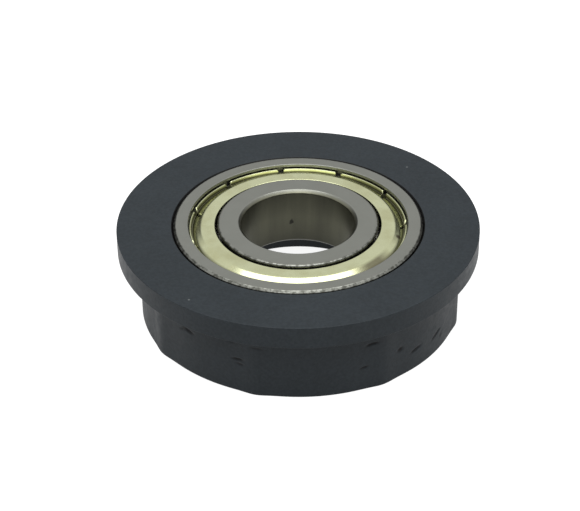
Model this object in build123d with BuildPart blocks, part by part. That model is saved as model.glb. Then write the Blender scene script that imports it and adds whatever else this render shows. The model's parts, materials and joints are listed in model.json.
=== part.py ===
from build123d import *
import math
import os

# Flanged cam follower: a moulded flanged roller carried by a shielded deep-groove ball bearing.
# Millimetres. The origin is the centre of the bearing's bore, and +Z is the roller's axis,
# pointing out of the flanged side.

os.makedirs("parts", exist_ok=True)

# Ball bearing, standard inch size 5/8 x 1 3/8 x 11/32
bore_diameter = 15.875
bearing_diameter = 34.925
bearing_width = 8.731
ball_diameter = 4.7625
pitch_diameter = 25.4
ball_count = 10
land_height = 1.4           # pitch radius to the land beside either raceway
groove_conformity = 0.52    # raceway groove radius over ball diameter
raceway_clearance = 0.05
bore_rounding = 0.65
land_chamfer = 0.3
ring_corner = 0.5

# Shields, pressed from thin sheet and crimped into the outer ring
shield_thickness = 0.28
shield_inner_radius = 11.75
shield_flat_radius = 13.5
shield_recess = 0.35        # ring face down to the shield's flat
shield_trough_depth = 0.8
shield_trough_radius = 14.85
shield_trough_width = 0.25
shield_lip_radius = 15.33
shield_lip_height = 0.7
shield_bend = 0.18
notch_count = 11
notch_width = 0.8
notch_length = 1.0
notch_start = 1.3           # degrees from +X

# Outer ring's recess for each shield
recess_radius = 15.4
undercut_radius = 15.6
undercut_height = 1.05
undercut_slope = 0.2
recess_chamfer = 0.12
shield_clearance = 0.05

# Ribbon cage, two riveted halves
cage_thickness = 0.5
cage_width = 1.9
pocket_clearance = 0.08
rivet_diameter = 0.8
rivet_head_diameter = 1.4
rivet_head_height = 0.3
rivet_head_rounding = 0.12

# Flanged roller
flange_diameter = 50.8
flange_thickness = 3.2
hub_diameter = 45.0
roller_height = 13.5
lip_hole_diameter = 27.8
bearing_stand_out = 0.2     # bearing face above the flange face
seat_mouth_chamfer = 0.35
flange_edge_rounding = 0.2
hub_root_rounding = 0.4
hub_edge_chamfer = 0.2

# Worked out from the values above
bore_radius = bore_diameter / 2
bearing_radius = bearing_diameter / 2
bearing_top = bearing_width / 2
pitch_radius = pitch_diameter / 2
ball_radius = ball_diameter / 2
ball_pitch_angle = 360 / ball_count
groove_radius = groove_conformity * ball_diameter
groove_offset = groove_radius - ball_radius - raceway_clearance
inner_land_radius = pitch_radius - land_height
outer_land_radius = pitch_radius + land_height
shield_flat_height = bearing_top - shield_recess - shield_thickness / 2
shield_trough_height = shield_flat_height - shield_trough_depth
shoulder_height = shield_trough_height - shield_thickness / 2 - shield_clearance
cage_inner_radius = pitch_radius - cage_width / 2
cage_outer_radius = pitch_radius + cage_width / 2
pocket_radius = ball_radius + pocket_clearance
flange_face = bearing_top - bearing_stand_out
flange_underside = flange_face - flange_thickness
hub_bottom = flange_face - roller_height
seat_depth = flange_face + bearing_top

# Flanged roller: flange and hub in one moulding, with a seat for the bearing that stops on
# an inward lip at the hub's end
with BuildPart() as flanged_roller:
    with BuildSketch(Plane.XY.offset(hub_bottom)):
        Circle(hub_diameter / 2)
    extrude(amount=roller_height)
    hub_end_edge = flanged_roller.edges().sort_by(Axis.Z)[0]
    chamfer(hub_end_edge, hub_edge_chamfer)
    with BuildSketch(Plane.XY.offset(flange_underside)):
        Circle(flange_diameter / 2)
    extrude(amount=flange_thickness)
    round_edges = flanged_roller.edges().filter_by(GeomType.CIRCLE)
    flange_edges = round_edges.group_by(SortBy.RADIUS)[-1]
    fillet(flange_edges, flange_edge_rounding)
    root_edge = flanged_roller.edges().filter_by(
        lambda edge: edge.geom_type == GeomType.CIRCLE
        and math.isclose(edge.radius, hub_diameter / 2)
        and math.isclose(edge.center().Z, flange_underside)
    )
    fillet(root_edge, hub_root_rounding)
    with Locations((0, 0, flange_face)):
        CounterBoreHole(lip_hole_diameter / 2, bearing_radius, seat_depth)
    seat_mouth = flanged_roller.edges().filter_by(
        lambda edge: edge.geom_type == GeomType.CIRCLE
        and math.isclose(edge.radius, bearing_radius)
        and math.isclose(edge.center().Z, flange_face)
    )
    chamfer(seat_mouth, seat_mouth_chamfer)
    lip_mouth = flanged_roller.edges().filter_by(
        lambda edge: edge.geom_type == GeomType.CIRCLE
        and math.isclose(edge.radius, lip_hole_diameter / 2)
        and math.isclose(edge.center().Z, hub_bottom)
    )
    chamfer(lip_mouth, hub_edge_chamfer)

# Outer ring: raceway in the middle, and at each face a recess whose undercut holds a shield
with BuildPart() as outer_ring:
    with BuildSketch(Plane.XZ):
        with BuildLine():
            upper_section = Polyline(
                (bearing_radius, 0),
                (bearing_radius, bearing_top),
                (recess_radius + recess_chamfer, bearing_top),
                (recess_radius, bearing_top - recess_chamfer),
                (recess_radius, shoulder_height + undercut_height),
                (undercut_radius, shoulder_height + undercut_height - undercut_slope),
                (undercut_radius, shoulder_height),
                (outer_land_radius, shoulder_height),
                (outer_land_radius, 0),
            )
            mirror(upper_section, about=Plane.XZ)
        make_face()
        with Locations((pitch_radius - groove_offset, 0)):
            Circle(groove_radius, mode=Mode.SUBTRACT)
    revolve(axis=Axis.Z)
    ring_corners = outer_ring.edges().filter_by(GeomType.CIRCLE).group_by(SortBy.RADIUS)[-1]
    fillet(ring_corners, ring_corner)

# Inner ring: plain bore for the stud, raceway outside
with BuildPart() as inner_ring:
    Cylinder(inner_land_radius, bearing_width)
    Hole(bore_radius)
    ring_edges = inner_ring.edges().filter_by(GeomType.CIRCLE).group_by(SortBy.RADIUS)
    fillet(ring_edges[0], bore_rounding)
    chamfer(ring_edges[-1], land_chamfer)
    with BuildSketch(Plane.XZ):
        with Locations((pitch_radius + groove_offset, 0)):
            Circle(groove_radius)
    revolve(axis=Axis.Z, mode=Mode.SUBTRACT)

# Shield: flat washer, a trough round its rim, and a notched lip that springs into the undercut
with BuildPart() as upper_shield:
    with BuildSketch(Plane.XZ):
        with BuildLine():
            FilletPolyline(
                (shield_inner_radius + shield_thickness / 2, shield_flat_height),
                (shield_flat_radius, shield_flat_height),
                (shield_trough_radius - shield_trough_width, shield_trough_height),
                (shield_trough_radius, shield_trough_height),
                (shield_lip_radius, shield_trough_height + shield_lip_height),
                radius=shield_bend,
            )
            offset(amount=shield_thickness / 2)
        make_face()
    revolve(axis=Axis.Z)
    notch_floor = shield_trough_height + shield_thickness
    with BuildSketch(Plane.XY.offset(notch_floor)):
        with PolarLocations(shield_lip_radius, notch_count, start_angle=notch_start):
            Rectangle(notch_length, notch_width)
    extrude(amount=shield_lip_height, mode=Mode.SUBTRACT)

with BuildPart() as lower_shield:
    mirror(upper_shield.part, about=Plane.XY)

# Cage half: a flat ribbon with a dome over each ball and a rivet hole between the balls
with BuildPart() as cage_upper_half:
    with BuildSketch():
        Circle(cage_outer_radius)
    extrude(amount=cage_thickness)
    with PolarLocations(pitch_radius, ball_count):
        Sphere(pocket_radius + cage_thickness)
    with PolarLocations(pitch_radius, ball_count):
        Sphere(pocket_radius, mode=Mode.SUBTRACT)
    with BuildSketch():
        Circle(cage_outer_radius)
        Circle(cage_inner_radius, mode=Mode.SUBTRACT)
    extrude(amount=bearing_top, mode=Mode.INTERSECT)
    with PolarLocations(pitch_radius, ball_count, start_angle=ball_pitch_angle / 2):
        Hole(rivet_diameter / 2)

with BuildPart() as cage_lower_half:
    mirror(cage_upper_half.part, about=Plane.XY)

# Rivets: one between each pair of balls, headed on both sides
with BuildPart() as cage_rivets:
    with PolarLocations(pitch_radius, ball_count, start_angle=ball_pitch_angle / 2):
        Cylinder(rivet_head_diameter / 2, 2 * (cage_thickness + rivet_head_height))
    head_edges = cage_rivets.edges().filter_by(GeomType.CIRCLE)
    fillet(head_edges, rivet_head_rounding)
    with BuildSketch(Plane.XY.offset(-cage_thickness)):
        Circle(cage_outer_radius)
        with PolarLocations(pitch_radius, ball_count, start_angle=ball_pitch_angle / 2):
            Circle(rivet_diameter / 2, mode=Mode.SUBTRACT)
    extrude(amount=2 * cage_thickness, mode=Mode.SUBTRACT)

pieces = {
    "flanged_roller": flanged_roller,
    "outer_ring": outer_ring,
    "inner_ring": inner_ring,
    "upper_shield": upper_shield,
    "lower_shield": lower_shield,
    "cage_upper_half": cage_upper_half,
    "cage_lower_half": cage_lower_half,
    "cage_rivets": cage_rivets,
}

# Balls: evenly spaced on the pitch circle
for index in range(ball_count):
    angle = math.radians(index * ball_pitch_angle)
    with BuildPart() as ball:
        with Locations((pitch_radius * math.cos(angle), pitch_radius * math.sin(angle), 0)):
            Sphere(ball_radius)
    pieces[f"ball_{index + 1:02d}"] = ball

for name, piece in pieces.items():
    piece.part.label = name
    export_step(piece.part, f"parts/{name}.step")
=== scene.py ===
import json
import math

import bpy
import numpy as np
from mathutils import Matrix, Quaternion, Vector


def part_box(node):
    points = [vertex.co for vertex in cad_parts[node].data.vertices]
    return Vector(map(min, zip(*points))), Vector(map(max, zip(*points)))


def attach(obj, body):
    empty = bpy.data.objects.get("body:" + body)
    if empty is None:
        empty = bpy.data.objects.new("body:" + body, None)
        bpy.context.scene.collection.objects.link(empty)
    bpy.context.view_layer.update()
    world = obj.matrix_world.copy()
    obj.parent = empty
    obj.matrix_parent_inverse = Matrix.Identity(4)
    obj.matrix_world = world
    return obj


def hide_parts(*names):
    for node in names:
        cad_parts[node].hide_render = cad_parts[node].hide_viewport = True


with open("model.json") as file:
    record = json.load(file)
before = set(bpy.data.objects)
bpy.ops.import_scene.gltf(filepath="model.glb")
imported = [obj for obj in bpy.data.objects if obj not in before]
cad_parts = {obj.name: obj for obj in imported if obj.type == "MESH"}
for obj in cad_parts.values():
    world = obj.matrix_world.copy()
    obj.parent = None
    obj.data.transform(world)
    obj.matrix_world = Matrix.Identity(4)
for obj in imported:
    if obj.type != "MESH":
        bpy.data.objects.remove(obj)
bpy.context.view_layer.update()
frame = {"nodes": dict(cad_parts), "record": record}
print("frame loaded")

mm = 0.001
twoPi = 2 * math.pi
noiseSpan = (0.3, 0.7)      # most of a noise's values lie between these

# Sizes read from the frame
mounts = {mount["name"]: mount for mount in frame["record"]["mounts"]}
rollerLow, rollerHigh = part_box("flanged_roller")
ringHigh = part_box("outer_ring")[1]
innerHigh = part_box("inner_ring")[1]
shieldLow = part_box("upper_shield")[0]
ballLow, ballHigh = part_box("ball_01")
flangeRadius = rollerHigh.x
flangeFace = rollerHigh.z
flangeUnderside = mounts["flange_guide_face"]["pos_m"][2]
hubEnd = rollerLow.z
hubRadius = mounts["tread"]["dims"]["r_mm"] * mm
bearingRadius = ringHigh.x
bearingTop = ringHigh.z
boreRadius = mounts["stud_bore"]["dims"]["r_mm"] * mm
innerLandRadius = innerHigh.x
ballRadius = (ballHigh.z - ballLow.z) / 2
pitchRadius = (ballHigh.x + ballLow.x) / 2
outerLandRadius = 2 * pitchRadius - innerLandRadius


def unit(vector):
    return vector / np.linalg.norm(vector)


def wrapped(turn):
    # The same turn, brought between minus and plus half a turn.
    return (turn + math.pi) % twoPi - math.pi


def evenAngles(count):
    return np.arange(count) * twoPi / count


def aroundAxis(degrees, radius, height):
    turn = math.radians(degrees)
    return radius * math.cos(turn), radius * math.sin(turn), height


def roundedOutline(corners, guard=0.04 * mm):
    # Closed outline in (radius, height). A corner is (radius, height, rounding, step): an arc
    # tangent to its two straight runs, or the bare point where rounding is nought. The run that
    # follows is cut into equal steps no longer than step, and next to an arc it has one more
    # point, a guard's length away, which keeps the flats flat.
    arcStep = math.radians(11)
    count = len(corners)
    arcs = []
    for index, (radius, height, rounding, _) in enumerate(corners):
        here = np.array((radius, height))
        toBefore = unit(np.array(corners[index - 1][:2]) - here)
        toAfter = unit(np.array(corners[(index + 1) % count][:2]) - here)
        if rounding == 0:
            arcs.append(here[None, :])
            continue
        halfAngle = math.acos(np.clip(toBefore @ toAfter, -1, 1)) / 2
        centre = here + unit(toBefore + toAfter) * rounding / math.sin(halfAngle)
        start = here + toBefore * rounding / math.tan(halfAngle) - centre
        end = here + toAfter * rounding / math.tan(halfAngle) - centre
        first = math.atan2(start[1], start[0])
        turn = wrapped(math.atan2(end[1], end[0]) - first)
        steps = max(3, math.ceil(abs(turn) / arcStep))
        angles = first + turn * np.linspace(0, 1, steps + 1)
        arcs.append(centre + rounding * np.stack((np.cos(angles), np.sin(angles)), axis=1))
    parts = []
    for arc, following, corner in zip(arcs, arcs[1:] + arcs[:1], corners):
        start, end = arc[-1], following[0]
        length = np.linalg.norm(end - start)
        roomy = length > 4 * guard
        near = guard / length if roomy and len(arc) > 1 else 0
        far = guard / length if roomy and len(following) > 1 else 0
        steps = max(1, math.ceil(length / corner[3]))
        shares = np.linspace(near, 1 - far, steps + 1)[:, None]
        run = start + (end - start) * shares
        parts += [arc, run[(0 if near else 1):(None if far else -1)]]
    return np.concatenate(parts)


def turned(outline, angles):
    # Surface of revolution: (radius, height) carried round the axis, as the same outline at every
    # angle, or as one outline for each.
    radius, height = outline[..., 0], outline[..., 1]
    cosine, sine = np.cos(angles)[:, None], np.sin(angles)[:, None]
    return np.stack((radius * cosine, radius * sine, height + 0 * cosine), axis=2)


def closedMesh(name, grid):
    # Grid of points closed both ways, as on a ring: each point is joined to its neighbours by
    # four-sided faces, which are turned over if the volume they enclose comes out negative.
    around, along = grid.shape[:2]
    row = np.arange(around)[:, None]
    column = np.arange(along)[None, :]
    nextRow, nextColumn = (row + 1) % around, (column + 1) % along
    corners = (row * along + column, nextRow * along + column,
               nextRow * along + nextColumn, row * along + nextColumn)
    quads = np.stack(np.broadcast_arrays(*corners), axis=2).reshape(-1, 4)
    points = grid.reshape(-1, 3)
    a, b, c, d = (points[quads[:, k]] for k in range(4))
    volume = (np.cross(b - a, c - a) * a).sum() + (np.cross(c - a, d - a) * a).sum()
    if volume < 0:
        quads = quads[:, ::-1]
    mesh = bpy.data.meshes.new(name)
    mesh.vertices.add(len(points))
    mesh.vertices.foreach_set("co", points.astype(np.float32).ravel())
    mesh.loops.add(quads.size)
    mesh.loops.foreach_set("vertex_index", quads.astype(np.int32).ravel())
    mesh.polygons.add(len(quads))
    mesh.polygons.foreach_set("loop_start", np.arange(0, quads.size, 4, dtype=np.int32))
    mesh.polygons.foreach_set("use_smooth", np.ones(len(quads), dtype=bool))
    mesh.update(calc_edges=True)
    mesh.validate()
    return mesh


def setAttribute(mesh, name, values):
    attribute = mesh.attributes.new(name, "FLOAT", "POINT")
    attribute.data.foreach_set("value", values.astype(np.float32).ravel())


def addPiece(name, mesh, body, node, material):
    piece = bpy.data.objects.new(name, mesh)
    bpy.context.scene.collection.objects.link(piece)
    mesh.materials.append(material)
    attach(piece, body)
    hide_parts(node)
    print("made", name, len(mesh.polygons), "faces")


def addNode(tree, kind, inputs=None, **settings):
    node = tree.nodes.new(kind)
    for name, value in settings.items():
        setattr(node, name, value)
    for name, value in (inputs or {}).items():
        if isinstance(value, bpy.types.NodeSocket):
            tree.links.new(value, node.inputs[name])
        else:
            node.inputs[name].default_value = value
    return node


def newMaterial(name):
    material = bpy.data.materials.new(name)
    material.use_nodes = True
    shader = material.node_tree.nodes["Principled BSDF"]
    place = addNode(material.node_tree, "ShaderNodeTexCoord").outputs["Object"]
    return material, material.node_tree, shader, place


def noise(tree, place, scale, detail=3.0):
    node = addNode(tree, "ShaderNodeTexNoise", {"Vector": place, "Scale": scale, "Detail": detail})
    return node.outputs["Fac"]


def remap(tree, value, low, high, toLow=0.0, toHigh=1.0):
    node = addNode(tree, "ShaderNodeMapRange", {
        "Value": value, "From Min": low, "From Max": high, "To Min": toLow, "To Max": toHigh})
    return node.outputs["Result"]


def combine(tree, operation, first, second=0.0):
    node = addNode(tree, "ShaderNodeMath", {0: first, 1: second}, operation=operation)
    return node.outputs[0]


def mixColor(tree, factor, first, second):
    node = addNode(tree, "ShaderNodeMix", data_type="RGBA")
    for index, value in ((0, factor), (6, first), (7, second)):
        if isinstance(value, bpy.types.NodeSocket):
            tree.links.new(value, node.inputs[index])
        else:
            node.inputs[index].default_value = value if index == 0 else (*value, 1.0)
    return node.outputs[2]


def heightOf(tree, place):
    return addNode(tree, "ShaderNodeSeparateXYZ", {0: place}).outputs["Z"]


def axisRadius(tree, place):
    # Distance from the axis: the length of the position with its height set to nought.
    flat = addNode(tree, "ShaderNodeVectorMath", {0: place, 1: (1, 1, 0)}, operation="MULTIPLY")
    length = addNode(tree, "ShaderNodeVectorMath", {0: flat.outputs[0]}, operation="LENGTH")
    return length.outputs["Value"]


def distanceFrom(tree, place, spot):
    node = addNode(tree, "ShaderNodeVectorMath", {0: place, 1: spot}, operation="DISTANCE")
    return node.outputs["Value"]


def turnedLines(tree, place, pitch):
    # Lines left by turning or grinding: one-dimensional noise along radius plus height, so they
    # run round the axis on faces and walls alike.
    along = combine(tree, "ADD", axisRadius(tree, place), heightOf(tree, place))
    node = addNode(tree, "ShaderNodeTexNoise", {"W": combine(tree, "DIVIDE", along, pitch),
                   "Scale": 1.0, "Detail": 4.0}, noise_dimensions="1D")
    return node.outputs["Fac"]


def addBump(tree, shader, height, distance, strength):
    node = addNode(tree, "ShaderNodeBump", {
        "Height": height, "Distance": distance, "Strength": strength})
    tree.links.new(node.outputs["Normal"], shader.inputs["Normal"])


nylonLook = {
    "color": (0.006, 0.0115, 0.0155),
    "dusty": (0.017, 0.0245, 0.0305),
    # painted shade for the nicks and the seat's mouth
    "shadeInGrooves": (0.003, 0.003, 0.0035),
    "roughness": (0.41, 0.53),
    "gloss": 0.4,
    # Noises: scale per metre, detail, lowest and highest value used, and share in the dust
    "cloud": (160, 4, 0.35, 0.70, 0.3),
    "mottle": (1 / (0.9 * mm), 4, 0.38, 0.62, 0.3),
    "grain": (1 / (0.40 * mm), 2, 0.36, 0.64, 0.5),
    "grainDepth": 0.020 * mm,
    "grainBump": 0.6,
    # Crumbs: degrees round the axis, radius and depth below the flange face
    "crumbs": [(-127.3, 23.7 * mm, 0.0), (-109.2, 22.5 * mm, 5.25 * mm), (42.5, 21.8 * mm, 0.0)],
    "crumb": (0.11, 0.12, 0.12),
    "crumbEdge": (0.08 * mm, 0.20 * mm),
}


def blackNylon():
    # The dust between two greys is the sum of a slow cloud, a fine mottle and a finer grain. On it
    # lie a few pale crumbs, the grain is also the bump, and painted shade darkens the nicks and
    # the seat's mouth.
    material, tree, shader, place = newMaterial("blackNylon")
    grooveShade = addNode(tree, "ShaderNodeAttribute", attribute_name="grooveShade").outputs["Fac"]
    noises = {}
    dust = 0.0
    for kind in ("cloud", "mottle", "grain"):
        scale, detail, low, high, share = nylonLook[kind]
        noises[kind] = noise(tree, place, scale, detail)
        dust = combine(tree, "ADD", dust, remap(tree, noises[kind], low, high, 0, share))
    base = mixColor(tree, dust, nylonLook["color"], nylonLook["dusty"])
    for degrees, radius, below in nylonLook["crumbs"]:
        away = distanceFrom(tree, place, aroundAxis(degrees, radius, flangeFace - below))
        crumb = remap(tree, away, *nylonLook["crumbEdge"], 1, 0)
        base = mixColor(tree, crumb, base, nylonLook["crumb"])
    # Painted shade in the nicks, darker with depth, and in the seat's mouth
    base = mixColor(tree, grooveShade, base, nylonLook["shadeInGrooves"])
    roughness = remap(tree, noises["mottle"], *noiseSpan, *nylonLook["roughness"])
    tree.links.new(base, shader.inputs["Base Color"])
    tree.links.new(roughness, shader.inputs["Roughness"])
    shader.inputs["Specular IOR Level"].default_value = nylonLook["gloss"]
    addBump(tree, shader, noises["grain"], nylonLook["grainDepth"], nylonLook["grainBump"])
    return material


rollerShape = {
    "around": 480,
    "lipHoleRadius": 13.9 * mm,
    "seatMouthWidth": 0.32 * mm,
    "seatMouthDepth": 0.55 * mm,
    "mouthShare": 0.98,         # of the mouth's depth that has a nick's colour
    "flangeRounding": 0.08 * mm,
    "rootRounding": 0.4 * mm,
    "hubChamfer": 0.2 * mm,
    "edgeRounding": 0.05 * mm,
    "longStep": 1.2 * mm,
    "wallStep": 0.14 * mm,
    "seatStep": 3.6 * mm,
    "ridgeRise": 0.30 * mm,
    "ridgeDegrees": 4.5,
    "hubDrop": 0.06 * mm,
    "hubSwell": 0.35 * mm,
    "ridges": (-146, -105, -60, -15, 31, 75, 120, 168),
    "ridgeInnerRadius": 19.9 * mm,
    "ridgeInnerFade": 2.0 * mm,
    "ridgeTopFade": 0.4 * mm,
    # depth of a nick at which its painted shade is full
    "fullShadeDepth": 0.12 * mm,
    "tolerance": 0.01 * mm,
}

# Nicks in the hub's wall: degrees round the axis, depth below the flange face, length, width
# and depth of the nick, and its slant in degrees
nicks = [
    (-131.3, 6.4 * mm, 1.9 * mm, 0.32 * mm, 0.22 * mm, -12),
    (-134.0, 6.6 * mm, 0.9 * mm, 0.30 * mm, 0.14 * mm, 30),
    (-113.2, 5.4 * mm, 0.7 * mm, 0.36 * mm, 0.16 * mm, -8),
    (-104.0, 5.6 * mm, 1.6 * mm, 0.22 * mm, 0.10 * mm, -6),
    (-111.1, 8.1 * mm, 1.5 * mm, 0.28 * mm, 0.20 * mm, 3),
    (-110.2, 8.8 * mm, 1.0 * mm, 0.26 * mm, 0.14 * mm, -10),
    (-64.6, 6.1 * mm, 1.6 * mm, 0.26 * mm, 0.24 * mm, 8),
    (-67.3, 9.7 * mm, 1.2 * mm, 0.26 * mm, 0.16 * mm, 10),
    (-53.1, 8.8 * mm, 0.8 * mm, 0.55 * mm, 0.22 * mm, 10),
    (-45.6, 10.2 * mm, 1.9 * mm, 0.34 * mm, 0.18 * mm, 12),
    (-34.0, 10.3 * mm, 2.2 * mm, 0.30 * mm, 0.18 * mm, 20),
    (-30.5, 11.0 * mm, 1.0 * mm, 0.30 * mm, 0.16 * mm, 80),
    (12.0, 6.4 * mm, 1.5 * mm, 0.30 * mm, 0.18 * mm, 8),
    (57.0, 8.9 * mm, 1.7 * mm, 0.30 * mm, 0.18 * mm, -14),
    (98.0, 5.7 * mm, 1.3 * mm, 0.28 * mm, 0.16 * mm, 12),
    (141.0, 9.4 * mm, 1.6 * mm, 0.32 * mm, 0.18 * mm, -6),
    (188.0, 7.1 * mm, 1.2 * mm, 0.28 * mm, 0.16 * mm, 10),
]


def hubUnevenness(angles):
    # The hub's wall bulges at its ribs: each is a bell, exp of minus u squared, u being the turn
    # away from the rib over its half width. The wall between them is a little low, and stands out
    # towards +X by a swell times half of one plus the cosine.
    total = rollerShape["hubSwell"] * (1 + np.cos(angles)) / 2 - rollerShape["hubDrop"]
    for degrees in rollerShape["ridges"]:
        u = wrapped(angles - math.radians(degrees)) / math.radians(rollerShape["ridgeDegrees"])
        total += rollerShape["ridgeRise"] * np.exp(-u ** 2)
    return total


def nickDepths(angles, below):
    # Each nick is a groove: a bell of v, across it, times a flat-topped bell of u, along it.
    total = np.zeros((len(angles), len(below)))
    for degrees, middle, length, width, depth, slant in nicks:
        around = hubRadius * wrapped(angles - math.radians(degrees))[:, None]
        down = (below - middle)[None, :]
        cosine, sine = math.cos(math.radians(slant)), math.sin(math.radians(slant))
        u = (around * cosine - down * sine) / (length / 2)
        v = (around * sine + down * cosine) / (width / 2)
        total = np.maximum(total, depth * np.exp(-u ** 4 - v ** 2))
    return total


def buildRoller(material):
    # The outline of flange, hub, lip and bearing seat, turned round the axis. The hub's wall and
    # the rim of its end then move outwards by its unevenness, less the depth of the nicks.
    shape = rollerShape
    lipHole, chamfer = shape["lipHoleRadius"], shape["hubChamfer"]
    mouth, mouthDepth = shape["seatMouthWidth"], shape["seatMouthDepth"]
    small, step = shape["edgeRounding"], shape["longStep"]
    outline = roundedOutline([
        (lipHole + chamfer, hubEnd, small, step),
        (hubRadius - chamfer, hubEnd, small, step),
        (hubRadius, hubEnd + chamfer, small, shape["wallStep"]),
        (hubRadius, flangeUnderside, shape["rootRounding"], step),
        (flangeRadius, flangeUnderside, shape["flangeRounding"], step),
        (flangeRadius, flangeFace, shape["flangeRounding"], step),
        (bearingRadius + mouth, flangeFace, small, step),
        (bearingRadius, flangeFace - mouthDepth, small, shape["seatStep"]),
        (bearingRadius, -bearingTop, small, step),
        (lipHole, -bearingTop, small, step),
        (lipHole, hubEnd + chamfer, small, step),
    ])
    angles = evenAngles(shape["around"])
    radius, height = outline[:, 0], outline[:, 1]
    share = np.clip((radius - shape["ridgeInnerRadius"]) / shape["ridgeInnerFade"], 0, 1)
    share = share * np.clip((flangeUnderside - height) / shape["ridgeTopFade"], 0, 1)
    wall = (np.abs(radius - hubRadius) < shape["tolerance"]) & (height < flangeUnderside)
    dents = nickDepths(angles, flangeFace - height) * wall
    moved = hubUnevenness(angles)[:, None] * share - dents
    section = outline + np.stack((moved, 0 * moved), axis=2)
    mesh = closedMesh("roller", turned(section, angles))
    # Painted shade: the slope of the seat's mouth is as dark as the bottom of a nick, and a nick
    # darkens with its depth
    inMouth = np.abs(radius - bearingRadius - mouth / 2) < mouth / 2
    inMouth &= np.abs(height - flangeFace + mouthDepth / 2) < shape["mouthShare"] * mouthDepth / 2
    setAttribute(mesh, "grooveShade", np.maximum(np.clip(dents / shape["fullShadeDepth"], 0, 1), inMouth))
    addPiece("roller", mesh, "roller", "flanged_roller", material)


steelLook = {
    "color": (0.285, 0.292, 0.262),
    "bright": (0.305, 0.312, 0.282),
    "cloudScale": 300,
    "roughness": (0.29, 0.38),
    "linePitch": 0.05 * mm,
    "lineDepth": 0.0012 * mm,
    "lineBump": 0.7,
    # dirt on the rings' corners and at the pit, and painted shade at the bore's foot
    "dirtAndShade": (0.06, 0.06, 0.05),
    "speckScale": 1 / (0.5 * mm),
    "speckSpan": (0.42, 0.60),
    "speckShare": 0.75,
    "outerSpecks": (0.42 * mm, 0.26 * mm),  # inwards from the outer ring's side: none, all
    "innerSpecks": (0.35 * mm, 0.20 * mm),  # either way from the inner ring's land: none, all
    # painted shade inside the bore: the wall's darker olive colour
    "bore": (0.21, 0.21, 0.155),
    "boreEdge": (0.10 * mm, 0.45 * mm),     # outwards from the bore's wall: all, none
    # share of painted shade at the bore's foot
    "footShadeShare": 0.85,
    # painted dark bands standing in for reflections on the bore's wall
    "bandShade": (0.15, 0.15, 0.115),
    "streakScale": 420,
    "streakSpan": (0.42, 0.72),
    "streakSquash": 0.12,
    "pitPlace": (-0.97 * mm, 7.88 * mm, -0.80 * mm),
    "pitScale": 1 / (0.7 * mm),
    "pitRagged": 1.1 * mm,
    "pitEdge": (0.85 * mm, 0.95 * mm),
}


def ringSteel():
    # Ground steel: fine lines round the axis, and specks of grime on each ring's outer corners.
    # The bore's wall has painted shade: darker olive, with dark bands for reflections, deeper
    # towards its foot. It has one dark pit.
    look = steelLook
    material, tree, shader, place = newMaterial("ringSteel")
    radius, height = axisRadius(tree, place), heightOf(tree, place)
    lines = turnedLines(tree, place, look["linePitch"])
    cloud = noise(tree, place, look["cloudScale"])
    faces = mixColor(tree, remap(tree, cloud, *noiseSpan), look["color"], look["bright"])

    fromOuter = combine(tree, "SUBTRACT", bearingRadius, radius)
    fromLand = combine(tree, "ABSOLUTE", combine(tree, "SUBTRACT", radius, innerLandRadius))
    corner = combine(tree, "MAXIMUM", remap(tree, fromOuter, *look["outerSpecks"]),
                     remap(tree, fromLand, *look["innerSpecks"]))
    specks = noise(tree, place, look["speckScale"])
    specks = remap(tree, specks, *look["speckSpan"], 0, look["speckShare"])
    faces = mixColor(tree, combine(tree, "MULTIPLY", corner, specks), faces, look["dirtAndShade"])

    # Painted dark bands, standing in for the reflections on the bore's wall
    squashed = addNode(tree, "ShaderNodeVectorMath", {0: place, 1: (1, 1, look["streakSquash"])},
                       operation="MULTIPLY").outputs[0]
    shadeBands = remap(tree, noise(tree, squashed, look["streakScale"], 5), *look["streakSpan"])
    wall = mixColor(tree, shadeBands, look["bore"], look["bandShade"])
    # Painted shade, growing towards the bore's foot
    footShade = remap(tree, height, -bearingTop, 0, look["footShadeShare"], 0)
    wall = mixColor(tree, footShade, wall, look["dirtAndShade"])
    ragged = combine(tree, "MULTIPLY", noise(tree, place, look["pitScale"]), look["pitRagged"])
    fromPit = combine(tree, "ADD", distanceFrom(tree, place, look["pitPlace"]), ragged)
    wall = mixColor(tree, remap(tree, fromPit, *look["pitEdge"], 1, 0), wall, look["dirtAndShade"])

    # Painted shade: the bore's wall takes the darker colour
    boreShadeMask = remap(tree, combine(tree, "SUBTRACT", radius, boreRadius), *look["boreEdge"], 1, 0)
    roughness = remap(tree, lines, *noiseSpan, *look["roughness"])
    tree.links.new(mixColor(tree, boreShadeMask, faces, wall), shader.inputs["Base Color"])
    tree.links.new(roughness, shader.inputs["Roughness"])
    shader.inputs["Metallic"].default_value = 1.0
    addBump(tree, shader, lines, look["lineDepth"], look["lineBump"])
    return material


ringShape = {
    "around": 360,
    "grooveRadius": 0.52 * 2 * ballRadius,
    "grooveClearance": 0.05 * mm,
    "grooveSteps": 28,
    "outerChamfer": 0.32 * mm,
    "boreChamfer": 0.44 * mm,
    "chamferBlend": 0.20 * mm,
    "landRounding": 0.35 * mm,
    "recessRadius": 15.40 * mm,
    "recessRounding": 0.12 * mm,
    "undercutRadius": 15.60 * mm,
    "undercutHeight": 1.05 * mm,
    "undercutSlope": 0.2 * mm,
    "shieldClearance": 0.05 * mm,
    "edgeRounding": 0.04 * mm,
    "longStep": 0.8 * mm,
}


def raceway(landRadius, side):
    # Raceway in (radius, height): the arc of a circle between its crossings with the land, from
    # low to high. side is -1 on the inner ring and 1 on the outer.
    grooveRadius = ringShape["grooveRadius"]
    centre = pitchRadius - side * (grooveRadius - ballRadius - ringShape["grooveClearance"])
    reach = math.acos(abs(landRadius - centre) / grooveRadius)
    angles = np.linspace(-reach, reach, ringShape["grooveSteps"] + 1)
    return [(centre + side * grooveRadius * math.cos(angle), grooveRadius * math.sin(angle), 0, mm)
            for angle in angles]


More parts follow.
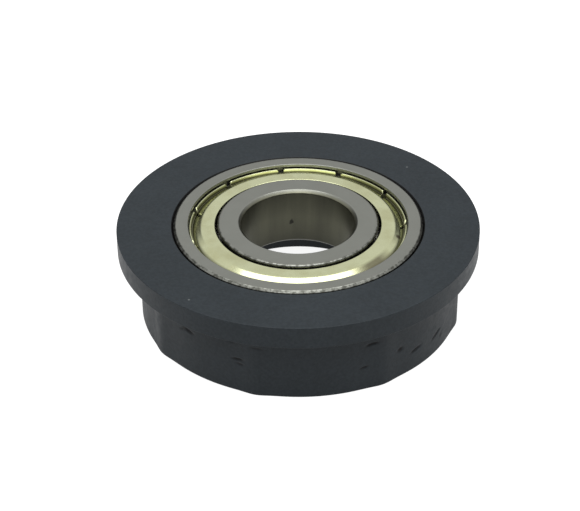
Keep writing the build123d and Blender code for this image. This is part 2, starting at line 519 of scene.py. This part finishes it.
def buildInnerRing(material):
    # Inner ring's outline turned round the axis: bore, two end faces and the raceway.
    shape = ringShape
    chamfer, blend = shape["boreChamfer"], shape["chamferBlend"]
    land, step = shape["landRounding"], shape["longStep"]
    groove = raceway(innerLandRadius, -1)
    outline = roundedOutline([
        (boreRadius + chamfer, -bearingTop, blend, step),
        (boreRadius, chamfer - bearingTop, blend, step),
        (boreRadius, bearingTop - chamfer, blend, step),
        (boreRadius + chamfer, bearingTop, blend, step),
        (innerLandRadius, bearingTop, land, step),
        *groove[::-1],
        (innerLandRadius, -bearingTop, land, step),
    ])
    mesh = closedMesh("innerRing", turned(outline, evenAngles(shape["around"])))
    addPiece("innerRing", mesh, "inner_race", "inner_ring", material)


def buildOuterRing(material):
    # Outer ring's outline turned round the axis: side, two end faces, each with its shield's
    # recess and undercut, and the raceway.
    shape = ringShape
    chamfer, blend = shape["outerChamfer"], shape["chamferBlend"]
    small, step = shape["edgeRounding"], shape["longStep"]
    recess, undercut = shape["recessRadius"], shape["undercutRadius"]
    shoulder = shieldLow.z - shape["shieldClearance"]
    top = shoulder + shape["undercutHeight"]
    slope = top - shape["undercutSlope"]
    groove = raceway(outerLandRadius, 1)
    outline = roundedOutline([
        (bearingRadius, bearingTop - chamfer, blend, step),
        (bearingRadius - chamfer, bearingTop, blend, step),
        (recess, bearingTop, shape["recessRounding"], step),
        (recess, top, small, step),
        (undercut, slope, small, step),
        (undercut, shoulder, small, step),
        (outerLandRadius, shoulder, small, step),
        *groove[::-1],
        (outerLandRadius, -shoulder, small, step),
        (undercut, -shoulder, small, step),
        (undercut, -slope, small, step),
        (recess, -top, small, step),
        (recess, -bearingTop, shape["recessRounding"], step),
        (bearingRadius - chamfer, -bearingTop, blend, step),
        (bearingRadius, chamfer - bearingTop, blend, step),
    ])
    mesh = closedMesh("outerRing", turned(outline, evenAngles(shape["around"])))
    addPiece("outerRing", mesh, "roller", "outer_ring", material)


shieldShape = {
    "thickness": 0.28 * mm,
    "recess": 0.35 * mm,
    "innerRadius": 11.66 * mm,
    "flatRadius": 13.5 * mm,
    "flatBend": 0.6 * mm,
    "troughRadius": 15.06 * mm,
    "troughWidth": 0.28 * mm,
    "troughDepth": 0.84 * mm,
    "troughBend": 0.2 * mm,
    "lipRadius": 15.18 * mm,
    "lipHeight": 0.74 * mm,
    "lipFade": 0.03 * mm,
    "edgeShare": 0.45,          # rounding of the sheet's edges over its thickness
    "leastRounding": 0.03 * mm,
    "longStep": 0.35 * mm,
    "guard": 0.02 * mm,
    "notches": 11,
    "notchStart": math.radians(1.3),
    "notchWidth": 0.8 * mm,
    "notchEdge": 0.05 * mm,
    "notchShare": 0.22,         # of the lip's height that is left in a notch
    "notchPoints": 7,
    "lipPoints": 30,
}

shieldLook = {
    "color": (0.66, 0.685, 0.435),
    "stained": (0.58, 0.585, 0.345),
    "cloudScale": 380,
    "stainSpan": (0.40, 0.72),
    "roughness": (0.17, 0.24),
    "grainScale": 3500,
    "grainDepth": 0.002 * mm,
    "grainBump": 0.35,
    # painted shade low in the shield's trough
    "troughShade": (0.15, 0.15, 0.09),
    "troughShadeStart": 0.46 * mm,   # below the flat
    "troughShadeFull": 0.74 * mm,
    "troughShadeFade": 0.4 * mm,     # outwards from the flat's rim
    "marked": (0.16, 0.14, 0.09),
    # Marks: degrees round the axis, radius, reach of the full and of any colour, and its share
    "marks": [(-43.0, 14.3 * mm, 1.2 * mm, 3.8 * mm, 0.8),
              (-12.5, 14.3 * mm, 0.25 * mm, 0.55 * mm, 1.0)],
}


def shieldSteel():
    # Pale yellow plated sheet: slow stains, painted shade low in the trough, brown marks on its
    # slope, and a fine rolled grain as bump.
    look = shieldLook
    material, tree, shader, place = newMaterial("shieldSteel")
    cloud = noise(tree, place, look["cloudScale"], 4)
    grain = noise(tree, place, look["grainScale"], 2)
    flat, flatRadius = bearingTop - shieldShape["recess"], shieldShape["flatRadius"]
    markHeight = flat - look["troughShadeStart"]
    outside = remap(tree, axisRadius(tree, place), flatRadius, flatRadius + look["troughShadeFade"])
    low = remap(tree, combine(tree, "ABSOLUTE", heightOf(tree, place)), markHeight,
                flat - look["troughShadeFull"])
    base = mixColor(tree, remap(tree, cloud, *look["stainSpan"]), look["color"], look["stained"])
    # Painted shade low in the trough, outside the flat's rim
    base = mixColor(tree, combine(tree, "MULTIPLY", low, outside), base, look["troughShade"])
    for degrees, radius, near, far, share in look["marks"]:
        away = distanceFrom(tree, place, aroundAxis(degrees, radius, markHeight))
        mark = combine(tree, "MULTIPLY", remap(tree, away, near, far, share, 0), outside)
        base = mixColor(tree, mark, base, look["marked"])
    roughness = remap(tree, cloud, *noiseSpan, *look["roughness"])
    tree.links.new(base, shader.inputs["Base Color"])
    tree.links.new(roughness, shader.inputs["Roughness"])
    shader.inputs["Metallic"].default_value = 1.0
    addBump(tree, shader, grain, look["grainDepth"], look["grainBump"])
    return material


def sheetOutline(centreLine, bends):
    # Both faces of a sheet: the centre line moved half a thickness each way, mitred at its bends
    # and rounded there by the bend radius, more on the outside of a bend than on the inside.
    shape = shieldShape
    half = shape["thickness"] / 2
    edge = shape["edgeShare"] * shape["thickness"]
    points = np.array(centreLine)
    ways = np.array([unit(step) for step in points[1:] - points[:-1]])
    normals = np.stack((-ways[:, 1], ways[:, 0]), axis=1)
    first, last = np.vstack((normals[:1], normals)), np.vstack((normals, normals[-1:]))
    mitre = (first + last) / (1 + (first * last).sum(axis=1))[:, None]
    turns = np.cross(ways[:-1], ways[1:])
    faces = []
    for side in (1, -1):
        moved = points + side * half * mitre
        roundings = np.array([edge, *(bends - side * np.sign(turns) * half), edge])
        roundings = np.maximum(roundings, shape["leastRounding"])
        faces.append([(*point, rounding, shape["longStep"])
                      for point, rounding in zip(moved, roundings)])
    return roundedOutline(faces[0] + faces[1][::-1], shape["guard"])


def notchedAngles():
    # Directions round a shield: even steps, with closer ones at both edges of every notch, and
    # the share of the lip's height that stands at each.
    shape = shieldShape
    pitch = twoPi / shape["notches"]
    half = shape["notchWidth"] / 2 / shape["lipRadius"]
    edge = shape["notchEdge"] / shape["lipRadius"]
    inside = np.linspace(-half, half, shape["notchPoints"])
    outside = np.linspace(half + edge, pitch - half - edge, shape["lipPoints"])
    onePitch = np.concatenate((inside, outside))
    lip = np.concatenate((np.full(len(inside), shape["notchShare"]), np.ones(len(outside))))
    starts = shape["notchStart"] + np.arange(shape["notches"]) * pitch
    return (starts[:, None] + onePitch).ravel(), np.tile(lip, shape["notches"])


def shieldMesh(name, side):
    # One shield: its sheet's outline turned round the axis, with the lip drawn in along its own
    # slope at every notch. side is 1 for the upper shield and -1 for the lower.
    shape = shieldShape
    flat = bearingTop - shape["recess"] - shape["thickness"] / 2
    trough = flat - shape["troughDepth"]
    root = np.array((shape["troughRadius"], trough))
    tip = np.array((shape["lipRadius"], trough + shape["lipHeight"]))
    bends = np.array((shape["flatBend"], shape["troughBend"], shape["troughBend"]))
    outline = sheetOutline([
        (shape["innerRadius"], flat),
        (shape["flatRadius"], flat),
        (shape["troughRadius"] - shape["troughWidth"], trough),
        tuple(root),
        tuple(tip),
    ], bends)
    angles, lip = notchedAngles()
    upLip = unit(tip - root)
    climb = np.clip((outline - root) @ upLip, 0, None)
    lipStart = shape["troughRadius"] - shape["troughWidth"] * 2 / 3
    onLip = climb * np.clip((outline[:, 0] - lipStart) / shape["lipFade"], 0, 1)
    drawnIn = (1 - lip)[:, None, None] * onLip[None, :, None] * upLip
    section = (outline[None, :, :] - drawnIn) * np.array((1, side))
    return closedMesh(name, turned(section, angles))


def buildShields(material):
    shields = (("upperShield", "upper_shield", 1), ("lowerShield", "lower_shield", -1))
    for name, node, side in shields:
        addPiece(name, shieldMesh(name, side), "roller", node, material)


# Steel of the hidden pieces: dull and bright colour, noise scale, roughness and grain depth
hiddenLook = {
    "ball": ((0.60, 0.60, 0.59), (0.70, 0.70, 0.69), 500, (0.05, 0.11), 0.0005 * mm),
    "cage": ((0.40, 0.39, 0.36), (0.55, 0.54, 0.50), 700, (0.28, 0.42), 0.01 * mm),
}


def hiddenSteel(name, dull, bright, cloudScale, roughness, grainDepth):
    # One cloud of noise sets the colour, the roughness and the bump.
    material, tree, shader, place = newMaterial(name)
    cloud = noise(tree, place, cloudScale)
    tree.links.new(mixColor(tree, cloud, dull, bright), shader.inputs["Base Color"])
    tree.links.new(remap(tree, cloud, *noiseSpan, *roughness), shader.inputs["Roughness"])
    shader.inputs["Metallic"].default_value = 1.0
    addBump(tree, shader, cloud, grainDepth, 0.5)
    return material


def finishHidden():
    # Balls, cage and rivets keep their own shapes and get their steel.
    steels = {kind: hiddenSteel(kind + "Steel", *look) for kind, look in hiddenLook.items()}
    for name, node in frame["nodes"].items():
        kind = name.split("_")[0]
        if kind in steels:
            node.data.materials.clear()
            node.data.materials.append(steels[kind])
    print("balls, cage and rivets finished")


steel = ringSteel()
buildRoller(blackNylon())
buildOuterRing(steel)
buildInnerRing(steel)
buildShields(shieldSteel())
finishHidden()

floorLook = {
    "side": 3.0,
    "gap": 0.02 * mm,                   # below the part
    "color": (0.35, 0.35, 0.35),
    "cloudScale": 12,
    "cloudShade": 0.98,
    "roughness": 0.8,
    "gloss": 0.1,
    "glow": (0.85, 2.1),                # on the part, from the front and from the back
    "glowUnderPart": 0.7,
    "shadeEdge": (-3 * mm, 1 * mm),     # outwards from the hub's radius
    "glowSeen": 2.6,
}


def buildFloor():
    # A pale table that glows to the eye, so its shadows stay faint. Its glow on the part is less,
    # rises from the front to the back, and fades out in the part's own shade. From below it is
    # clear, so the part's underside can be seen.
    look = floorLook
    side, level = look["side"] / 2, hubEnd - look["gap"]
    mesh = bpy.data.meshes.new("floor")
    mesh.from_pydata([(-side, -side, level), (side, -side, level),
                      (side, side, level), (-side, side, level)], [], [(0, 1, 2, 3)])
    floor = bpy.data.objects.new("floor", mesh)
    bpy.context.scene.collection.objects.link(floor)
    material, tree, shader, place = newMaterial("floorBoard")
    cloud = noise(tree, place, look["cloudScale"])
    shaded = tuple(look["cloudShade"] * value for value in look["color"])
    base = mixColor(tree, cloud, shaded, look["color"])
    depth = addNode(tree, "ShaderNodeSeparateXYZ", {0: place}).outputs["Y"]
    unseenGlow = remap(tree, depth, -flangeRadius, flangeRadius, *look["glow"])
    shadeStart, shadeEnd = (hubRadius + edge for edge in look["shadeEdge"])
    shade = remap(tree, axisRadius(tree, place), shadeStart, shadeEnd, look["glowUnderPart"], 1)
    unseenGlow = combine(tree, "MULTIPLY", unseenGlow, shade)
    seen = addNode(tree, "ShaderNodeLightPath").outputs["Is Camera Ray"]
    glow = remap(tree, seen, 0, 1, unseenGlow, look["glowSeen"])
    tree.links.new(base, shader.inputs["Base Color"])
    tree.links.new(base, shader.inputs["Emission Color"])
    tree.links.new(glow, shader.inputs["Emission Strength"])
    shader.inputs["Roughness"].default_value = look["roughness"]
    shader.inputs["Specular IOR Level"].default_value = look["gloss"]
    below = addNode(tree, "ShaderNodeNewGeometry").outputs["Backfacing"]
    clear = addNode(tree, "ShaderNodeBsdfTransparent").outputs["BSDF"]
    oneWay = addNode(tree, "ShaderNodeMixShader", {0: below, 1: shader.outputs["BSDF"], 2: clear})
    tree.links.new(oneWay.outputs[0], tree.nodes["Material Output"].inputs["Surface"])
    mesh.materials.append(material)
    print("floor laid")


# Panels: direction from the part (x, y, z), distance, width, height and watts
panels = {
    "stripPanel": ((0.0, -0.16, 1.0), 0.70, 0.95, 0.32, 2.6),
    "frontPanel": ((0.0, -0.54, 0.84), 0.90, 0.60, 0.24, 1.0),
}


def buildPanels():
    aim = Vector((0, 0, flangeFace))
    for name, (way, distance, width, height, watts) in panels.items():
        light = bpy.data.lights.new(name, "AREA")
        light.shape = "RECTANGLE"
        light.size, light.size_y = width, height
        light.energy = watts
        lamp = bpy.data.objects.new(name, light)
        bpy.context.scene.collection.objects.link(lamp)
        lamp.location = aim + Vector(way).normalized() * distance
        lamp.rotation_euler = Vector(way).to_track_quat("Z", "Y").to_euler()
    print("panels hung")


skyLook = {
    "low": 0.05,
    "high": 0.80,
    "start": math.radians(15),
    "full": math.radians(26),
    "below": 0.9,
    "belowRise": (-0.02, -0.10),    # height over distance where it starts and where it is full
}


def buildSky():
    # Dark along the horizon and bright overhead, by the elevation looked at, and bright again
    # below the floor.
    look = skyLook
    world = bpy.data.worlds.new("studio")
    world.use_nodes = True
    tree = world.node_tree
    background = tree.nodes["Background"]
    background.inputs["Color"].default_value = (1.0, 1.0, 1.0, 1.0)
    rise = heightOf(tree, addNode(tree, "ShaderNodeTexCoord").outputs["Object"])
    above = remap(tree, rise, math.sin(look["start"]), math.sin(look["full"]),
                  look["low"], look["high"])
    below = remap(tree, rise, *look["belowRise"], 0, look["below"])
    tree.links.new(combine(tree, "ADD", above, below), background.inputs["Strength"])
    bpy.context.scene.world = world
    print("sky made")


cameraLook = {
    "elevation": math.radians(32.66),
    "distance": 9.666 * flangeRadius,
    "sensor": 36.0,
    "lens": 108.70,
    "clip": (0.01, 20.0),
    "pitch": math.radians(1.106),
    "yaw": math.radians(0.267),
    "roll": math.radians(-0.294),
}


def buildCamera():
    # Aimed at the middle of the flange face, then turned down and aside a little.
    look = cameraLook
    data = bpy.data.cameras.new("camera")
    data.sensor_width = look["sensor"]
    data.lens = look["lens"]
    data.dof.use_dof = False
    data.clip_start, data.clip_end = look["clip"]
    camera = bpy.data.objects.new("camera", data)
    bpy.context.scene.collection.objects.link(camera)
    back = Vector((0, -math.cos(look["elevation"]), math.sin(look["elevation"])))
    camera.location = Vector((0, 0, flangeFace)) + back * look["distance"]
    turn = back.to_track_quat("Z", "Y")
    turn = turn @ Quaternion((1, 0, 0), -look["pitch"])
    turn = turn @ Quaternion((0, 1, 0), look["yaw"])
    turn = turn @ Quaternion((0, 0, 1), look["roll"])
    camera.rotation_mode = "QUATERNION"
    camera.rotation_quaternion = turn
    bpy.context.scene.camera = camera
    print("camera placed")


buildFloor()
buildPanels()
buildSky()
buildCamera()
bpy.context.scene.view_settings.view_transform = "Standard"
